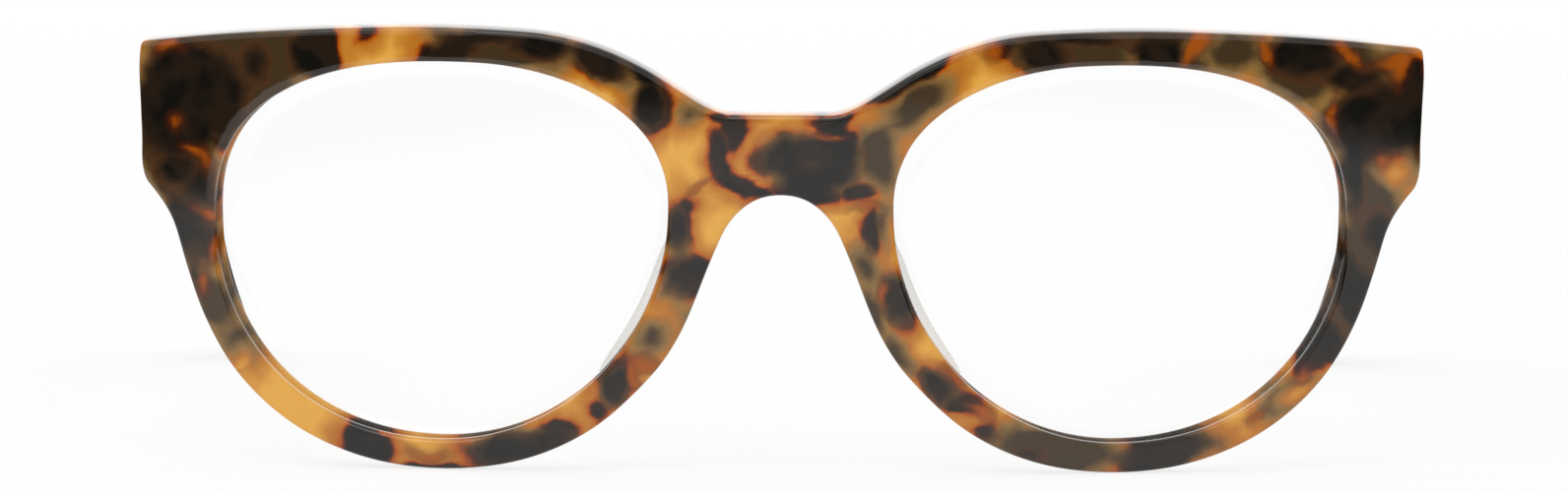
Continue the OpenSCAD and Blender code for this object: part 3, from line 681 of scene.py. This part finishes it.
def split_long_edges(piece):
    for _ in range(SPLIT_ROUNDS):
        points = piece.data.vertices
        ends = (edge.vertices for edge in piece.data.edges)
        lengths = [(points[a].co - points[b].co).length for a, b in ends]
        bpy.ops.object.mode_set(mode="EDIT")
        bpy.ops.mesh.select_mode(type="EDGE")
        bpy.ops.mesh.select_all(action="DESELECT")
        bpy.ops.object.mode_set(mode="OBJECT")
        piece.data.edges.foreach_set("select", [length > LONGEST_EDGE for length in lengths])
        bpy.ops.object.mode_set(mode="EDIT")
        bpy.ops.mesh.subdivide(number_cuts=1, ngon=False)
        bpy.ops.object.mode_set(mode="OBJECT")
        print(len(piece.data.vertices), "points after a round of splitting")


# %% [markdown]
# The bridge stands on a round arch, but the solid draws the top of it with few points,
# and their corners catch the light. Smoothing the whole front would shrink its rims. So
# only the points at the arch's top are selected, by their place, and smoothed.

# %% A smooth nose arch
ARCH_HALF_WIDTH = 7.4
ARCH_SPAN = (1.8, 8.2)
ARCH_ROUNDS = 18


def smooth_arch(piece):
    places = plane_places(piece)
    inside = np.abs(places[:, 0]) < ARCH_HALF_WIDTH
    inside &= (places[:, 2] > ARCH_SPAN[0]) & (places[:, 2] < ARCH_SPAN[1])
    bpy.ops.object.mode_set(mode="EDIT")
    bpy.ops.mesh.select_mode(type="VERT")
    bpy.ops.mesh.select_all(action="DESELECT")
    bpy.ops.object.mode_set(mode="OBJECT")
    piece.data.vertices.foreach_set("select", inside)
    bpy.ops.object.mode_set(mode="EDIT")
    bpy.ops.mesh.vertices_smooth(factor=0.5, repeat=ARCH_ROUNDS)
    bpy.ops.object.mode_set(mode="OBJECT")
    print(inside.sum(), "points smoothed on the nose arch")


# %% [markdown]
# Both faces of the sheet are bent to round curves, and a polished face shows every wave
# in them. A Shrinkwrap modifier could press the points on a cylinder. Here the two radii
# are known, so every point that lies near one of them is simply put on it.

# %% Faces on their true curves
CURVE_RADIUS = 250.0
SHEET_THICKNESS = 4.2
PRESS_REACH = 0.06


def press_on_curves(piece):
    places = plane_places(piece)
    centre = np.array([0.0, CURVE_RADIUS])
    arms = places[:, :2] - centre
    radii = np.hypot(arms[:, 0], arms[:, 1])
    for radius in (CURVE_RADIUS, CURVE_RADIUS + SHEET_THICKNESS):
        near = np.abs(radii - radius) < PRESS_REACH
        places[near, :2] = centre + arms[near] * (radius / radii[near])[:, None]
        print(near.sum(), "points pressed on the curve of", radius, "mm")
    turn = np.array(Matrix.Rotation(LEAN_ON_TABLE, 3, "X"))
    points = places @ turn.T * MM + np.array(FRONT_ORIGIN)
    piece.data.vertices.foreach_set("co", points.ravel())
    piece.data.update()


# %% [markdown]
# Now the front is made: rounded, split, smoothed at its arch and pressed on its curves.
# Then its distances are kept on it. The dark and the olive are held off by the windows,
# and the orange isn't, because it lies on top.

# %% The front
front = rounded_piece("front", "acetate_front", front_acetate, "tortoise_acetate", levels=2)
select_only(front)
split_long_edges(front)
smooth_arch(front)
press_on_curves(front)
places = bent_places(plane_places(front))
held_off = -blotch_distance(places, WINDOWS)
keep_on_mesh(front, "dark", np.maximum(blotch_distance(places, DARK), held_off))
keep_on_mesh(front, "olive", np.maximum(blotch_distance(places, OLIVE), held_off))
keep_on_mesh(front, "orange", blotch_distance(places, ORANGE))
front.data.calc_loop_triangles()
print("front:", len(front.data.vertices), "points,", len(front.data.loop_triangles), "triangles")

# %% [markdown]
# Temples, pads and lenses are rounded in the same way. The solid of a lens is dense
# already, so one level is enough for it, and two would only make it heavy. A piece could
# be mirrored to the other side, but here each is made from the solid of its own side.

# %% Temples, pads and lenses
for side in ("left", "right"):
    acetate = (temple_acetate, "tortoise_acetate")
    rounded_piece("temple_" + side, "acetate_temple_" + side, *acetate, levels=2)
    rounded_piece("nose_pad_" + side, "clear_pad_" + side, pad_clear, "clear_acetate", levels=2)
    rounded_piece("lens_" + side, "clear_lens_" + side, lens_clear, "lens", levels=1)

# %% [markdown]
# Hinges and screws have crisp steps, which subdivision would melt. Tumbling breaks their
# edges just enough to catch the light, and that is what a narrow bevel does. The core
# inside each temple is a strip that bends with it, so it is rounded instead.

# %% Metal pieces, with the width of their broken edges
BEVEL_FROM = radians(40)
BEVEL_SEGMENTS = 2
BROKEN_EDGES = {
    "front_hinge": 0.05 * MM,
    "temple_hinge": 0.05 * MM,
    "hinge_screw": 0.03 * MM,
}


def bevelled_piece(node, name, finish, edge):
    piece = merged_copy(node, name)
    bevel = piece.modifiers.new("Broken edges", "BEVEL")
    bevel.width = edge
    bevel.segments = BEVEL_SEGMENTS
    bevel.limit_method = "ANGLE"
    bevel.angle_limit = BEVEL_FROM
    bpy.ops.object.modifier_apply(modifier=bevel.name)
    bpy.ops.object.shade_smooth_by_angle(angle=SMOOTH_UP_TO)
    finish_piece(piece, node, finish)


for side in ("left", "right"):
    for part, edge in BROKEN_EDGES.items():
        bevelled_piece(part + "_" + side, "steel_" + part + "_" + side, steel, edge)
    rounded_piece("core_wire_" + side, "steel_core_" + side, steel, "steel", levels=1)

# %% [markdown]
# The photograph is a cut-out on white. A plane is the plainest floor, and it is white to
# the camera and through the lenses. A share of it is left to real light, so that the rims
# keep their shadow. The front mirrors the floor just before it: white close by, and dark
# further off. A lamp could draw that too, but it would light the rims as well. Here the
# floor itself shows gloss a round white sheet, and nothing beyond it.

# %% Floor
FLOOR_SIZE = 12.0
FLOOR_WHITE = (0.97, 0.97, 0.97, 1)
FULL_WHITE = (1, 1, 1, 1)
SHADOW_SHARE = 0.2
SHEET_CENTRE = (20 * MM, -9 * MM, 0.0)
SHEET_RADIUS = 210 * MM
SHEET_FADE = 12 * MM

bpy.ops.object.select_all(action="DESELECT")
bpy.ops.mesh.primitive_plane_add(size=FLOOR_SIZE, location=(0, 0, 0))
floor = bpy.context.object
floor.name = "floor"
floor_finish = Finish("white_sheet")
rays = floor_finish.tree.nodes.new("ShaderNodeLightPath")
to_camera = Value(floor_finish, rays.outputs["Is Camera Ray"])
to_gloss = Value(floor_finish, rays.outputs["Is Glossy Ray"])
through = Value(floor_finish, rays.outputs["Is Transmission Ray"])
spot = floor_finish.node("ShaderNodeTexCoord", out="Object")
ends = {0: spot, 1: SHEET_CENTRE}
away = floor_finish.node("ShaderNodeVectorMath", {"operation": "DISTANCE"}, ends, out="Value")
sheet = away.fall(SHEET_RADIUS - SHEET_FADE, SHEET_RADIUS + SHEET_FADE)
glow = {"Color": FULL_WHITE, "Strength": 1 - (1 - sheet) * to_gloss}
white = floor_finish.node("ShaderNodeEmission", {}, glow)
matt = floor_finish.node("ShaderNodeBsdfDiffuse", {}, {"Color": FLOOR_WHITE})
seen = (to_camera + through).math("MINIMUM", 1.0) * (1 - SHADOW_SHARE)
share = (seen + to_gloss).math("MINIMUM", 1.0)
floor_finish.end_with(floor_finish.mix_shaders(share, matt, white))
floor.data.materials.append(floor_finish.material)

# %% [markdown]
# An even white room lights every side at a plain level. One large soft lamp above and
# before the brow adds just enough direction to round the edges. A wide one low behind the
# glasses is mirrored, at a grazing angle, by the top of the brow and the walls of the rims.

# %% Room and soft lamps
ROOM_LEVEL = 0.85
LAMP_POWER = 2.6
LAMP_PLACE = (-0.25, -0.75, 0.95)
LAMP_TURN = (radians(38), 0, radians(-18))
LAMP_SIZE = 0.7
BACK_POWER = 3.0
BACK_PLACE = (0, 1.3, 0.45)
BACK_TURN = (radians(-72), 0, 0)
BACK_SIZE = (1.8, 0.6)

room = bpy.data.worlds.new("white_room")
bpy.context.scene.world = room
room.use_nodes = True
room.node_tree.nodes["Background"].inputs["Color"].default_value = FULL_WHITE
room.node_tree.nodes["Background"].inputs["Strength"].default_value = ROOM_LEVEL

bpy.ops.object.light_add(type="AREA", location=LAMP_PLACE, rotation=LAMP_TURN)
lamp = bpy.context.object
lamp.data.shape = "DISK"
lamp.data.size = LAMP_SIZE
lamp.data.energy = LAMP_POWER

bpy.ops.object.light_add(type="AREA", location=BACK_PLACE, rotation=BACK_TURN)
back_lamp = bpy.context.object
back_lamp.data.shape = "RECTANGLE"
back_lamp.data.size = BACK_SIZE[0]
back_lamp.data.size_y = BACK_SIZE[1]
back_lamp.data.energy = BACK_POWER
print("room", ROOM_LEVEL, "lamp", LAMP_POWER, "W, back lamp", BACK_POWER, "W")
